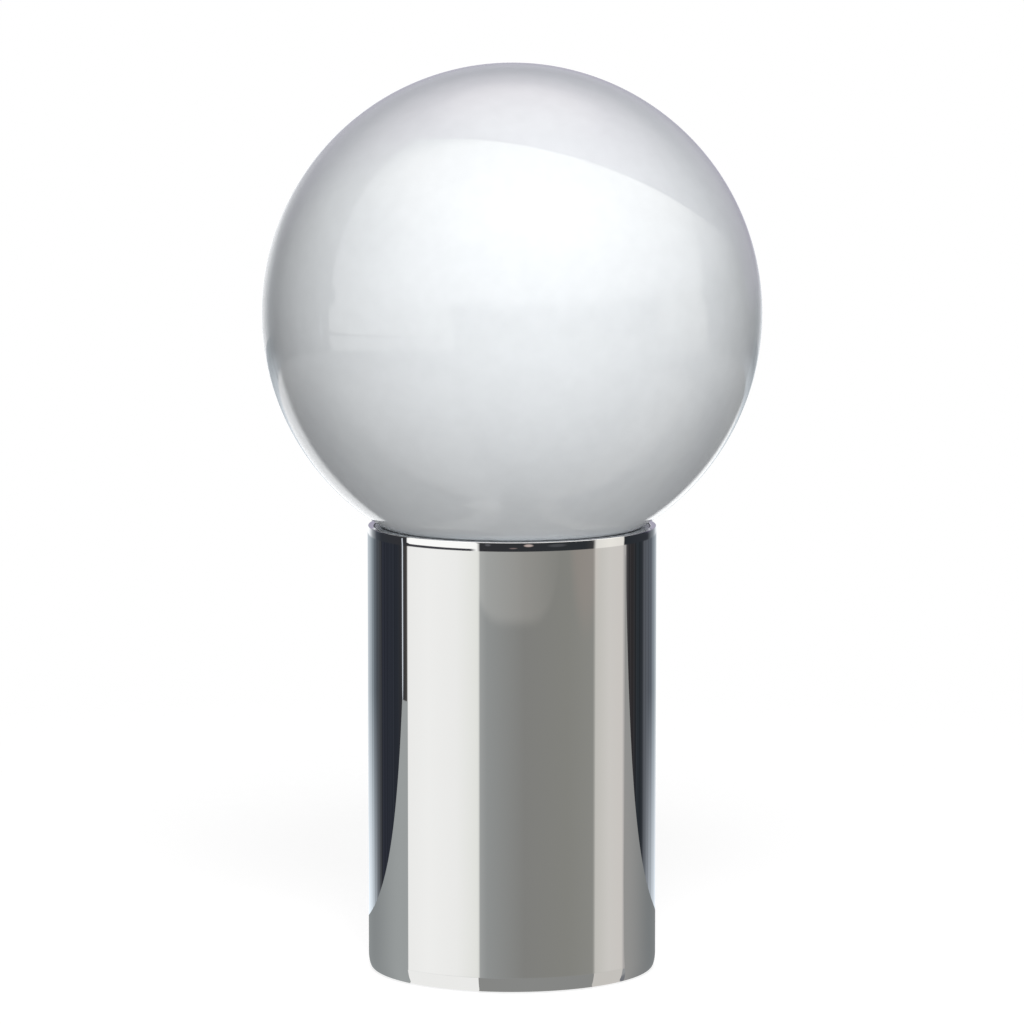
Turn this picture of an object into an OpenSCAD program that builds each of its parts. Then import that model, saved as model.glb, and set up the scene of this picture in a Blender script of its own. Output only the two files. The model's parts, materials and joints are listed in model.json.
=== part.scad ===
// Table lamp: an opal glass globe that rests in the open top of a mirror-polished tube.
// Millimetres, +Z up, origin on the table under the middle of the tube, front towards -Y.

/* [Tube] */
// Outer diameter of the polished tube
tube_d = 116; // [110:1:130]
// Height of the tube's lip above the table
tube_h = 180; // [170:1:260]
// Wall of the tube
tube_wall = 2.5; // [2:0.1:3]
// Radius that the buffing wheel leaves on the lip
lip_round = 0.7; // [0.3:0.1:0.9]
// Height of the buffed band below the lip
lip_band_h = 4; // [2:0.5:8]
// How far the buffed band draws in at the lip
lip_band_in = 0.3; // [0.1:0.05:0.5]
// Height of the rounded heel at the foot of the tube
heel_h = 5.5; // [3:0.5:8]
// How far the heel draws in at the table
heel_in = 1.5; // [0.5:0.1:1.6]
// Thickness of the two brazed rings
ledge_t = 3; // [2:0.5:5]

/* [Base] */
// Thickness of the foot pad under the weight
pad_t = 2; // [1.5:0.5:4]
// Gap between the table and the edge of the tube
tube_lift = 0.6; // [0.3:0.1:1.2]
// Radius of the hole in the middle of the foot pad
pad_hole_r = 17; // [14:1:24]
// Thickness of the iron weight
weight_t = 16; // [13:1:24]
// Depth of the pocket for the rod's lower nut
nut_pocket_depth = 9; // [7:0.5:10]
// Radius of the pocket for the rod's lower nut
nut_pocket_r = 12; // [10.5:0.5:14]

/* [Tie rod] */
// Outer diameter of the hollow tie rod
rod_d = 10; // [9:0.5:12]
// Bore of the hollow tie rod
rod_bore_d = 7; // [6.5:0.1:7.5]
// Thickness of the nuts on the rod
rod_nut_t = 4; // [3:0.5:5]
// Width across the flats of the nuts on the rod
rod_nut_af = 14; // [13:0.5:17]
// Thickness of the washers on the rod
rod_washer_t = 1; // [0.6:0.1:1.5]
// Outer radius of the washers on the rod
rod_washer_r = 9.5; // [8.8:0.1:10]
// Length of rod inside the lampholder's cap
rod_grip = 8.5; // [8:0.1:9]
// Height of the slot where the leads enter the rod
rod_slot_h = 18; // [16:1:24]
// Width of the slot where the leads enter the rod
rod_slot_w = 6; // [5.6:0.1:6.2]

/* [Globe seat] */
// Depth of the carrier's flange below the lip
seat_drop = 8.2; // [7:0.1:9.4]
// Section diameter of the silicone ring under the globe
seat_cord_d = 6; // [5:0.1:6.5]
// Thickness of the pressed carrier
carrier_t = 1.6; // [1.2:0.1:2]
// Height of the carrier's outer upstand above its flange
carrier_rim_h = 4; // [2:0.5:5]
// Depth of the carrier's floor below its flange
cup_depth = 36; // [30:1:44]

/* [Globe] */
// Outer diameter of the glass globe
globe_d = 200; // [180:1:220]
// Wall of the glass
glass_wall = 3.5; // [3:0.1:4.5]
// Outer diameter of the globe's neck
neck_d = 84; // [80:1:86]
// Length of the neck below the sphere
neck_h = 9; // [5:0.5:12]

/* [Lampholder] */
// Outer diameter of the lampholder
holder_d = 40; // [39:1:44]
// Height of the lampholder's cap
holder_cap_h = 20; // [20:0.5:24]
// Height of the lampholder's sleeve
holder_sleeve_h = 34; // [33.5:0.5:38]
// Height of the spigot that joins the cap and the sleeve
spigot_h = 4; // [3:0.5:5]
// Thickness of the ceramic insert's flange
insert_t = 3; // [2:0.5:4]
// Side of the square terminal posts
post_w = 5; // [4.5:0.1:5.5]
// Height of the terminal posts
post_h = 7; // [6:0.5:8]
// Height to which the spring contact stands above the insert
contact_rise = 1.5; // [1.2:0.1:2.5]
// Height of the screw shell
shell_h = 23; // [20:0.5:24]

/* [Screw thread] */
// Pitch of the bulb's screw thread
thread_pitch = 3.629; // [3:0.001:4]
// Mean diameter of the bulb's screw thread
thread_d = 25.2; // [24.8:0.1:25.6]
// Depth of the bulb's screw thread, crest to root
thread_depth = 1.1; // [0.8:0.05:1.3]
// Radial play between the two threads
thread_play = 0.35; // [0.3:0.05:0.6]

/* [Bulb] */
// Widest diameter of the bulb
bulb_d = 60; // [54:1:66]
// Length of the bulb from its contact to its crown
bulb_l = 108; // [100:1:115]
// Length of the screw cap from the contact to its upper edge
cap_l = 26; // [25:0.5:27]
// Height above the contact at which the plastic body meets the diffuser
body_l = 64; // [58:1:68]

/* [Wiring] */
// Outer diameter of the insulated leads
lead_d = 2.2; // [1.8:0.1:2.3]
// Spacing of the ways in the terminal block
way_pitch = 8.5; // [8:0.1:10]
// Height of the terminal block
block_h = 14; // [12:0.5:18]
// Depth of the terminal block, front to back
block_depth = 18; // [16:0.5:20]
// Distance of the terminal block's middle behind the rod
block_back = 28; // [26:0.5:31]
// Height of the cord inlet above the weight
inlet_rise = 20; // [17:1:40]
// Diameter of the bore that the cord passes through
inlet_bore_d = 8; // [6:0.1:8.5]
// Diameter of the grommet's flanges
grommet_d = 18; // [16.5:0.5:20]
// Distance of the earth screw to the right of the rod
earth_x = 30; // [27:0.5:34]

/* [Hidden] */
$fn = 96;
small_fn = 48;
eps = 0.01;

// Clearances
braze_gap = 0.05;
loose = 0.3;
screw_play = 0.1;
slip = 0.2;
moving_gap = 0.3;
neck_play = 1.2;
ledge_play = 2.4;
mouth_play = 2.3;
core_play = 1.5;
way_play = 0.6;
lead_gap = 0.25;

// Tube
tube_r = tube_d / 2;
tube_ir = tube_r - tube_wall;
ledge_or = tube_ir - braze_gap;
arc_steps = 8;

// Base, from the table up
weight_r = tube_ir - loose;
weight_z = pad_t;
weight_top = weight_z + weight_t;
pad_r = weight_r - heel_in;
nut_seat_z = weight_z + nut_pocket_depth;
rod_r = rod_d / 2;
rod_bore_r = rod_bore_d / 2;
rod_hole_r = rod_r + screw_play;
rod_tail = 1.2;
bush_t = 0.8;
bush_l = 4;
rod_bottom = nut_seat_z - rod_washer_t - rod_nut_t - rod_tail;

// Carrier, from the lip down
carrier_r = tube_ir - loose;
flange_z = tube_h - seat_drop;
cup_ir = neck_d / 2 + neck_play;
cup_or = cup_ir + carrier_t;
cup_floor_z = flange_z - cup_depth;
ledge_ir = cup_or + ledge_play;
carrier_rim_ir = carrier_r - carrier_t;

// Seat ring and globe
seat_cord_r = seat_cord_d / 2;
seat_ring_r = carrier_rim_ir - slip - seat_cord_r;
seat_ring_z = flange_z + seat_cord_r;
globe_r = globe_d / 2;
globe_ir = globe_r - glass_wall;
globe_reach = globe_r + seat_cord_r + moving_gap;
globe_z = seat_ring_z + sqrt(globe_reach * globe_reach - seat_ring_r * seat_ring_r);
neck_r = neck_d / 2;
neck_ir = neck_r - glass_wall;
neck_top_z = globe_z - sqrt(globe_r * globe_r - neck_r * neck_r);
neck_z = neck_top_z - neck_h;
neck_bore_z = min(neck_z, globe_z - globe_r) - glass_wall;

// Lampholder
holder_z = cup_floor_z + rod_washer_t + rod_nut_t;
rod_top = holder_z + rod_grip;
holder_r = holder_d / 2;
holder_wall = 2.9;
sleeve_ir = holder_r - holder_wall;
spigot_r = sleeve_ir - screw_play;
spigot_wall = 1.8;
boss_wall = 3;
boss_r = rod_r + boss_wall;
boss_h = 8.8;
cap_edge_h = 2;
cap_cavity_rise = 5;
cap_cavity_floor_w = 2;
sleeve_z = holder_z + holder_cap_h;
mouth_lip_h = 3;
mouth_r = thread_d / 2 + thread_depth / 2 + mouth_play;
insert_z = sleeve_z + spigot_h + screw_play;
insert_r = sleeve_ir - screw_play;
insert_core_r = spigot_r - spigot_wall - core_play;
insert_top = insert_z + insert_t;
insert_core_h = post_h + core_play;
insert_core_z = insert_z - insert_core_h;
post_x = 8;
post_z = insert_z - braze_gap - post_h;
post_hole_r = lead_d / 2 + loose;
post_hole_depth = 4;
post_screw_r = 1.4;
post_screw_head_r = 2.2;
post_screw_head_t = 1.2;
post_screw_lift = 0.5;
post_screw_bite = 1.5;
post_screw_z = post_z + post_h - post_screw_head_r - loose;
grub_r = 1.5;
grub_proud = 1;
grub_l = boss_wall + grub_proud;
grub_z = holder_z + boss_h / 2 - 1;
slot_w = 0.6;

// Bulb and its thread, all from the contact's lowest point
bulb_z = insert_top + contact_rise + moving_gap;
thread_r = thread_d / 2;
thread_e = thread_depth / 2;
thread_sides = 32;
thread_steps = 8;
thread_step = thread_pitch / thread_steps;
thread_fade = thread_pitch / 2;
shell_flange_t = 0.8;
shell_wall = 0.6;
shell_or = thread_r + thread_e + thread_play + shell_wall;
shell_flange_r = sleeve_ir - loose;
contact_r = 3.4;
contact_h = 1.6;
contact_tip_in = 1.2;
insulator_h = 5;
insulator_play = 0.4;
insulator_rim_w = 1;
insulator_key_h = 1;
cap_wall = 0.5;
cap_thread_z = bulb_z + insulator_h + insulator_key_h;
cap_skirt_h = 3;
cap_skirt_rise = 0.6;
cap_top = bulb_z + cap_l;
cap_skirt_z = cap_top - cap_skirt_h;
cap_ir = thread_r - thread_e - cap_wall;
bulb_r = bulb_d / 2;
bulb_crown_z = bulb_z + bulb_l;
bulb_centre_z = bulb_crown_z - bulb_r;
bulb_wall = 1.2;
body_top = bulb_z + body_l;
body_top_r = sqrt(bulb_r * bulb_r - pow(bulb_centre_z - body_top, 2));
collar_step = 0.9;
collar_h = 2;
flare_h = 6;
flare_w = 1.5;
shoulder_h = 7;
shoulder_w = 2;
collar_bite = 1;
body_collar_r = thread_r + thread_e + collar_step;
body_floor_z = cap_top + screw_play;
body_key_r = cap_ir - screw_play;
board_t = 1.6;
board_ledge_w = 2;
board_sink = 1;
board_r = body_top_r - bulb_wall - board_ledge_w;
board_z = body_top - board_t - board_sink;
led_count = 8;
led_w = 3;
led_t = 0.8;
led_ring_share = 0.68;
led_ring_r = board_r * led_ring_share;

// Wiring
lead_r = lead_d / 2;
lead_sides = 8;
lead_steps = 3;
way_r = lead_r + way_play;
block_wall = 4.5;
block_w = 2 * way_pitch + 2 * block_wall;
block_front = block_back - block_depth / 2;
way_z = weight_top + block_h / 2;
clamp_screw_r = 1.5;
clamp_screw_l = block_h / 2 - way_r - slip;
clamp_screw_inset = 4;
clamp_screw_y = block_depth / 2 - clamp_screw_inset;
clamp_slot_t = 1;
block_screw_r = 1.25;
block_screw_head_r = 2;
block_screw_head_t = 1.5;
block_screw_bite = 6;
drill_over = 1;
block_screw_sink = 2;
rod_slot_rise = 8;
rod_slot_z = weight_top + rod_slot_rise + rod_slot_h / 2;
lead_x = lead_r + lead_gap;
lead_bite = 5;
lead_clear = 2;
lead_rise = 3.5;
lead_turn = 6;
lead_lean = 0.8;
lead_end = 1;
inlet_z = weight_top + inlet_rise;
inlet_r = inlet_bore_d / 2;
grommet_r = grommet_d / 2;
grommet_neck_wall = 2;
grommet_neck_r = inlet_r + grommet_neck_wall;
grommet_hole_r = grommet_neck_r + braze_gap;
grommet_lip = 2;
earth_y = 8;
earth_screw_r = 2;
earth_bite = 6;
earth_washer_r = 4.2;
earth_washer_t = 0.6;
earth_ring_t = 0.8;
earth_ring_r = 4.4;
earth_head_t = 2.2;
earth_head_r = 3.6;
earth_teeth = 12;
earth_tooth_l = 1;
barrel_l = 6;
barrel_wall = 0.4;
barrel_r = lead_r + screw_play + barrel_wall;
barrel_neck_l = 1;
barrel_bite = 4;
barrel_y = earth_y + earth_ring_r + barrel_neck_l;
earth_ring_z = weight_top + earth_washer_t;
barrel_z = earth_ring_z + barrel_r;

// Colours
nickel = "gainsboro";
steel = "silver";
brass = "goldenrod";

// Points on a quarter or other part of an ellipse, from one angle to another
function bow(cx, cy, rx, ry, a0, a1) =
    [for (i = [0:arc_steps]) let (a = a0 + (a1 - a0) * i / arc_steps)
        [cx + rx * cos(a), cy + ry * sin(a)]];

// Outline of the tube's wall, with its buffed lip and rounded heel
function tube_outline() = concat(
    [[tube_ir, tube_lift]],
    bow(tube_r - heel_in, tube_lift + heel_h, heel_in, heel_h, -90, 0),
    [[tube_r, tube_h - lip_band_h],
     [tube_r - lip_band_in / 3, tube_h - lip_band_h / 2]],
    bow(tube_r - lip_band_in - lip_round, tube_h - lip_round, lip_round, lip_round, 0, 90),
    bow(tube_ir + lip_round, tube_h - lip_round, lip_round, lip_round, 90, 180)
);

// A cylinder that lies along Y, from one y to another
module rod_along_y(r, y0, y1) {
    translate([0, y0, 0]) rotate([-90, 0, 0]) cylinder(r = r, h = y1 - y0, $fn = small_fn);
}

// A flat ring standing on z = 0
module ring(outer, inner, t) {
    difference() {
        cylinder(r = outer, h = t);
        translate([0, 0, -eps]) cylinder(r = inner, h = t + 2 * eps);
    }
}

module base_tube() {
    color(nickel) difference() {
        rotate_extrude() polygon(tube_outline());
        translate([0, 0, inlet_z]) rod_along_y(grommet_hole_r, tube_ir - tube_wall, tube_r + tube_wall);
    }
}

module upper_ledge_ring() {
    color(steel) translate([0, 0, flange_z - carrier_t - ledge_t]) ring(ledge_or, ledge_ir, ledge_t);
}

module lower_ledge_ring() {
    color(steel) translate([0, 0, weight_top]) ring(ledge_or, ledge_ir, ledge_t);
}

// What a drill takes out for a screw of radius r, from a surface at height top
module drilling(r, top, depth) {
    translate([0, 0, top - depth - drill_over])
        cylinder(r = r + screw_play, h = depth + 2 * drill_over, $fn = small_fn);
}

module base_weight() {
    color("dimgray") translate([0, 0, weight_z]) difference() {
        cylinder(r = weight_r, h = weight_t);
        translate([0, 0, -eps]) cylinder(r = nut_pocket_r, h = nut_pocket_depth + eps);
        translate([0, 0, -eps]) cylinder(r = rod_hole_r, h = weight_t + 2 * eps, $fn = small_fn);
        for (side = [-1, 1])
            translate([side * way_pitch / 2, block_back, 0])
                drilling(block_screw_r, weight_t, block_screw_bite);
        translate([earth_x, earth_y, 0]) drilling(earth_screw_r, weight_t, earth_bite);
    }
}

module foot_pad() {
    color("black") ring(pad_r, pad_hole_r, pad_t);
}

module tie_rod() {
    slot_half = rod_slot_h / 2 - rod_slot_w / 2;
    color(steel) difference() {
        translate([0, 0, rod_bottom]) cylinder(r = rod_r, h = rod_top - rod_bottom, $fn = small_fn);
        translate([0, 0, rod_bottom - eps])
            cylinder(r = rod_bore_r, h = rod_top - rod_bottom + 2 * eps, $fn = small_fn);
        for (end = [-1, 1]) translate([0, 0, rod_slot_z + end * slot_half])
            rod_along_y(rod_slot_w / 2, 0, rod_d);
        translate([-rod_slot_w / 2, 0, rod_slot_z - slot_half]) cube([rod_slot_w, rod_d, 2 * slot_half]);
    }
}

// A hexagon nut standing on z = 0
module nut(af, t, hole) {
    difference() {
        cylinder(r = af / sqrt(3), h = t, $fn = 6);
        translate([0, 0, -eps]) cylinder(r = hole, h = t + 2 * eps, $fn = small_fn);
    }
}

module rod_nuts() {
    color(steel) for (z = [nut_seat_z - rod_washer_t - rod_nut_t, cup_floor_z + rod_washer_t])
        translate([0, 0, z]) nut(rod_nut_af, rod_nut_t, rod_hole_r);
}

module rod_washers() {
    color(steel) for (z = [nut_seat_z - rod_washer_t, cup_floor_z])
        translate([0, 0, z]) ring(rod_washer_r, rod_hole_r, rod_washer_t);
}

module rod_bush() {
    bush_bore_r = lead_x + lead_r + slip;
    color("white") translate([0, 0, rod_top]) difference() {
        union() {
            cylinder(r = rod_r - slip, h = bush_t, $fn = small_fn);
            translate([0, 0, -bush_l])
                cylinder(r = rod_bore_r - braze_gap, h = bush_l + eps, $fn = small_fn);
        }
        translate([0, 0, -bush_l - eps])
            cylinder(r = bush_bore_r, h = bush_l + bush_t + 2 * eps, $fn = small_fn);
    }
}

module globe_carrier() {
    color(steel) rotate_extrude() polygon([
        [rod_hole_r, cup_floor_z], [cup_ir, cup_floor_z], [cup_ir, flange_z],
        [carrier_rim_ir, flange_z], [carrier_rim_ir, flange_z + carrier_rim_h],
        [carrier_r, flange_z + carrier_rim_h], [carrier_r, flange_z - carrier_t],
        [cup_or, flange_z - carrier_t], [cup_or, cup_floor_z - carrier_t],
        [rod_hole_r, cup_floor_z - carrier_t]
    ]);
}

module seat_ring() {
    color("whitesmoke") translate([0, 0, seat_ring_z]) rotate_extrude()
        translate([seat_ring_r, 0]) circle(r = seat_cord_r, $fn = small_fn);
}

module globe() {
    color("white") difference() {
        union() {
            translate([0, 0, globe_z]) sphere(r = globe_r);
            translate([0, 0, neck_z]) cylinder(r = neck_r, h = globe_r / 4);
        }
        translate([0, 0, globe_z]) sphere(r = globe_ir);
        translate([0, 0, neck_bore_z]) cylinder(r = neck_ir, h = globe_r / 2);
    }
}

module holder_cap() {
    shoulder = holder_cap_h - boss_h;
    cavity_r = spigot_r - spigot_wall;
    color("white") translate([0, 0, holder_z]) difference() {
        rotate_extrude() polygon(concat(
            [[rod_hole_r, 0], [boss_r, 0]],
            [[boss_r, boss_h - cap_edge_h]],
            bow(boss_r, holder_cap_h - cap_edge_h, holder_r - boss_r, shoulder, -90, 0),
            [[holder_r, holder_cap_h], [spigot_r, holder_cap_h], [spigot_r, holder_cap_h + spigot_h],
             [cavity_r, holder_cap_h + spigot_h], [cavity_r, boss_h + cap_cavity_rise],
             [rod_r + cap_cavity_floor_w, boss_h], [rod_hole_r, boss_h]]
        ));
        translate([0, 0, grub_z - holder_z]) rod_along_y(grub_r + screw_play, -boss_r - grub_proud, 0);
    }
}

module holder_sleeve() {
    color("white") translate([0, 0, sleeve_z]) difference() {
        cylinder(r = holder_r, h = holder_sleeve_h);
        translate([0, 0, -eps]) cylinder(r = sleeve_ir, h = holder_sleeve_h - mouth_lip_h + eps);
        translate([0, 0, -eps]) cylinder(r = mouth_r, h = holder_sleeve_h + 2 * eps);
    }
}

module holder_insert() {
    pocket_w = post_w + 2 * screw_play;
    color("ivory") difference() {
        union() {
            translate([0, 0, insert_z]) cylinder(r = insert_r, h = insert_t);
            translate([0, 0, insert_core_z]) cylinder(r = insert_core_r, h = insert_core_h + eps);
        }
        for (side = [0, 1]) mirror([side, 0, 0])
            translate([post_x - pocket_w / 2, -pocket_w / 2, insert_core_z - eps])
                cube([holder_r, pocket_w, insert_core_h + eps]);
    }
}

module holder_terminals() {
    color(brass) for (side = [-1, 1]) translate([side * post_x, 0, post_z]) difference() {
        translate([-post_w / 2, -post_w / 2, 0]) cube([post_w, post_w, post_h]);
        translate([0, 0, -eps]) cylinder(r = post_hole_r, h = post_hole_depth, $fn = small_fn);
        translate([0, 0, post_screw_z - post_z]) rotate([0, side * 90, 0])
            cylinder(r = post_screw_r + screw_play, h = post_w, $fn = small_fn);
    }
}

module terminal_screws() {
    color(steel) for (side = [-1, 1])
        translate([side * (post_x + post_w / 2), 0, post_screw_z]) rotate([0, side * 90, 0]) {
            translate([0, 0, -post_screw_bite])
                cylinder(r = post_screw_r, h = post_screw_bite + 2 * post_screw_lift, $fn = small_fn);
            difference() {
                translate([0, 0, post_screw_lift])
                    cylinder(r = post_screw_head_r, h = post_screw_head_t, $fn = small_fn);
                translate([-post_screw_head_r, -slot_w / 2, 2 * post_screw_lift])
                    cube([2 * post_screw_head_r, slot_w, post_screw_head_t]);
            }
        }
}

// One ring of points of the screw surface, with the thread faded by f and its ends drawn to side * depth
function screw_ring(r, z, f, side) =
    [for (k = [0:thread_sides - 1]) let (a = 360 * k / thread_sides)
        let (q = r + thread_e * (side * (1 - f) + f * cos(360 * z / thread_pitch - a)))
        [q * cos(a), q * sin(a), z]];

// One plain ring of points
function plain_ring(r, z) =
    [for (k = [0:thread_sides - 1]) let (a = 360 * k / thread_sides) [r * cos(a), r * sin(a), z]];

// How much of the thread's depth is there at height z between z0 and z1
function fade(z, z0, z1) = max(0, min(1, (z - z0) / thread_fade, (z1 - z) / thread_fade));

// The whole turned surface, ring by ring, between z0 and z1
function screw_rings(r, z0, z1, side) =
    let (n = ceil((z1 - z0) / thread_step))
    [for (i = [0:n]) let (z = z0 + (z1 - z0) * i / n) screw_ring(r, z, fade(z, z0, z1), side)];

// The same list from its last entry to its first
function reversed(list) = [for (i = [len(list) - 1:-1:0]) list[i]];

// The faces between ring i and ring j, where a ring has s points
function ring_strip(i, j, s) =
    [for (k = [0:s - 1])
        let (a = i * s + k, b = i * s + (k + 1) % s, c = j * s + (k + 1) % s, d = j * s + k)
        for (f = [[a, d, c], [a, c, b]]) f];

// A closed wall whose outline runs up the outside through the rings and back down the inside
module ring_wall(rings) {
    n = len(rings);
    s = thread_sides;
    faces = [for (i = [0:n - 1]) for (f = ring_strip(i, (i + 1) % n, s)) f];
    polyhedron(points = [for (r = rings) for (p = r) p], faces = faces);
}

module screw_shell() {
    z0 = insert_top + shell_flange_t;
    z1 = insert_top + shell_h;
    outer = [plain_ring(thread_r, insert_top), plain_ring(shell_flange_r, insert_top),
             plain_ring(shell_flange_r, z0), plain_ring(shell_or, z0), plain_ring(shell_or, z1)];
    color(brass) ring_wall(concat(outer, reversed(screw_rings(thread_r + thread_play, z0, z1, 1))));
}

module centre_contact() {
    strip_t = 0.4;
    strip_w = 6;
    strip_end_gap = 2;
    reach = thread_r - thread_e - strip_end_gap;
    color(brass) translate([0, strip_w / 2, insert_top]) rotate([90, 0, 0]) linear_extrude(strip_w)
        polygon([[-reach, 0], [-reach / 2, 0], [-contact_r / 2, contact_rise - strip_t],
                 [contact_r / 2, contact_rise - strip_t], [reach / 2, strip_t], [reach / 2, 2 * strip_t],
                 [contact_r / 2, contact_rise], [-contact_r / 2, contact_rise],
                 [-reach / 2, strip_t], [-reach, strip_t]]);
}

module holder_grub_screw() {
    hex_depth = 0.5;
    color(steel) translate([0, 0, grub_z]) difference() {
        rod_along_y(grub_r, -rod_r - screw_play - grub_l, -rod_r - screw_play);
        translate([-grub_r, -rod_r - screw_play - grub_l - eps, -slot_w / 2])
            cube([2 * grub_r, hex_depth, slot_w]);
    }
}

module cord_grommet() {
    color("black") translate([0, 0, inlet_z]) difference() {
        rod_along_y(grommet_r, tube_ir - grommet_lip, tube_r + grommet_lip);
        difference() {
            translate([0, 0, -grommet_d]) cylinder(r = tube_r + braze_gap, h = 2 * grommet_d);
            translate([0, 0, -grommet_d - eps])
                cylinder(r = tube_ir - braze_gap, h = 2 * grommet_d + 2 * eps);
            rod_along_y(grommet_neck_r, tube_ir - tube_wall, tube_r + tube_wall);
        }
        rod_along_y(inlet_r, tube_ir - grommet_d, tube_r + grommet_d);
    }
}

module terminal_block() {
    color("ivory") translate([0, block_back, weight_top]) difference() {
        translate([-block_w / 2, -block_depth / 2, 0]) cube([block_w, block_depth, block_h]);
        for (way = [-1, 0, 1]) translate([way * way_pitch, 0, block_h / 2]) {
            rod_along_y(way_r, -block_depth, block_depth);
            for (y = [-clamp_screw_y, clamp_screw_y]) translate([0, y, 0])
                cylinder(r = clamp_screw_r + screw_play, h = block_h, $fn = small_fn);
        }
        for (side = [-1, 1]) translate([side * way_pitch / 2, 0, 0]) {
            translate([0, 0, -eps]) cylinder(r = block_screw_r + screw_play, h = block_h, $fn = small_fn);
            translate([0, 0, block_h - block_screw_sink - block_screw_head_t])
                cylinder(r = block_screw_head_r + screw_play, h = block_h, $fn = small_fn);
        }
    }
}

// A slotted screw whose shank hangs below z = 0 and whose head stands on it
module slotted_screw(r, l, head_r, head_t) {
    difference() {
        union() {
            translate([0, 0, -l]) cylinder(r = r, h = l + eps, $fn = small_fn);
            cylinder(r = head_r, h = head_t, $fn = small_fn);
        }
        translate([-head_r - eps, -head_r / 6, head_t / 2])
            cube([2 * head_r + 2 * eps, head_r / 3, head_t]);
    }
}

module block_clamp_screws() {
    stem = clamp_screw_l - clamp_slot_t;
    color(steel) for (way = [-1, 0, 1]) for (y = [-clamp_screw_y, clamp_screw_y])
        translate([way * way_pitch, block_back + y, weight_top + block_h - clamp_slot_t])
            slotted_screw(clamp_screw_r, stem, clamp_screw_r, clamp_slot_t);
}

module block_screws() {
    head_z = weight_top + block_h - block_screw_sink - block_screw_head_t;
    shank = head_z - weight_top + block_screw_bite;
    color(steel) for (side = [-1, 1]) translate([side * way_pitch / 2, block_back, head_z])
        slotted_screw(block_screw_r, shank, block_screw_head_r, block_screw_head_t);
}

function unit(v) = v / norm(v);

// The point at t from 0 to 1 on the curve that leaves b along m and reaches c along n
function hermite(b, c, m, n, t) = b + (c - b) * t * t * (3 - 2 * t) + t * (1 - t) * ((1 - t) * m - t * n);

// A smooth curve through the points p, with the given steps between each pair
function spline(p, steps) = concat(
    [for (i = [0:len(p) - 2]) for (k = [0:steps - 1])
        let (a = p[max(i - 1, 0)], b = p[i], c = p[i + 1], d = p[min(i + 2, len(p) - 1)], l = norm(c - b))
        hermite(b, c, l * unit(c - a), l * unit(d - b), k / steps)],
    [p[len(p) - 1]]
);

// A round lead along the path, with side as the direction that its rings are turned to
module lead(path, side) {
    n = len(path);
    s = lead_sides;
    rings = [for (i = [0:n - 1])
        let (t = unit(path[min(i + 1, n - 1)] - path[max(i - 1, 0)]))
        let (u = unit(side - (side * t) * t), v = cross(t, u))
        for (k = [0:s - 1]) path[i] + lead_r * (cos(360 * k / s) * u + sin(360 * k / s) * v)];
    walls = [for (i = [0:n - 2]) for (f = ring_strip(i, i + 1, s)) f];
    polyhedron(points = rings,
               faces = concat([[for (k = [0:s - 1]) k]], walls, [[for (k = [0:s - 1]) n * s - 1 - k]]));
}

// The route of a lead from its way in the block, through the slot and up the rod, to its terminal post.
// Each point adds a step chosen by hand to the pieces that the lead passes.
function lamp_lead_route(way, side) = spline([
    [way * way_pitch, block_front + lead_bite, way_z],
    [way * way_pitch, block_front - lead_clear, way_z],
    [(way * way_pitch + side * lead_x) / 2, (block_front + rod_r) / 2 + 1, way_z + lead_rise],
    [side * lead_x, rod_r + lead_clear, rod_slot_z - lead_clear],
    [side * lead_x, lead_lean, rod_slot_z + lead_turn],
    [side * lead_x, 0, rod_slot_z + 3 * lead_turn],
    [side * lead_x, 0, (rod_slot_z + rod_top) / 2],
    [side * lead_x, 0, rod_top - lead_end],
    [side * lead_x, 0, rod_top + bush_t + slip],
    [side * (lead_x + post_x) / 2, 0, (rod_top + post_z) / 2],
    [side * post_x, 0, post_z - lead_clear],
    [side * post_x, 0, post_z + post_hole_depth - lead_end]
], lead_steps);

module live_lead() {
    color("saddlebrown") lead(lamp_lead_route(-1, -1), [1, 0, 0]);
}

module neutral_lead() {
    color("steelblue") lead(lamp_lead_route(0, 1), [1, 0, 0]);
}

module earth_lead() {
    barrel_end = barrel_y + barrel_l;
    route = spline([
        [way_pitch, block_front + lead_bite, way_z],
        [way_pitch, block_front - lead_clear, way_z],
        [way_pitch + lead_rise, block_front - lead_bite, way_z],
        [earth_x - lead_turn, block_front - lead_bite, (way_z + barrel_z) / 2 + lead_clear],
        [earth_x - lead_end, barrel_end + lead_rise, barrel_z + lead_lean],
        [earth_x, barrel_end, barrel_z],
        [earth_x, barrel_end - barrel_bite, barrel_z]
    ], lead_steps);
    color("yellowgreen") lead(route, [0, 0, 1]);
}

module earth_terminal() {
    color(brass) translate([earth_x, 0, 0]) difference() {
        union() {
            translate([0, earth_y, earth_ring_z])
                cylinder(r = earth_ring_r, h = earth_ring_t, $fn = small_fn);
            translate([-barrel_r / 2, earth_y, earth_ring_z])
                cube([barrel_r, barrel_y - earth_y + barrel_neck_l, earth_ring_t]);
            translate([0, 0, barrel_z]) rod_along_y(barrel_r, barrel_y, barrel_y + barrel_l);
        }
        translate([0, barrel_neck_l, barrel_z])
            rod_along_y(barrel_r - barrel_wall, barrel_y, barrel_y + barrel_l);
        translate([0, earth_y, weight_top])
            cylinder(r = earth_screw_r + screw_play, h = earth_head_t, $fn = small_fn);
    }
}

module earth_screw() {
    shank = earth_bite + earth_washer_t + earth_ring_t;
    color(brass) translate([earth_x, earth_y, earth_ring_z + earth_ring_t])
        slotted_screw(earth_screw_r, shank, earth_head_r, earth_head_t);
}

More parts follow.
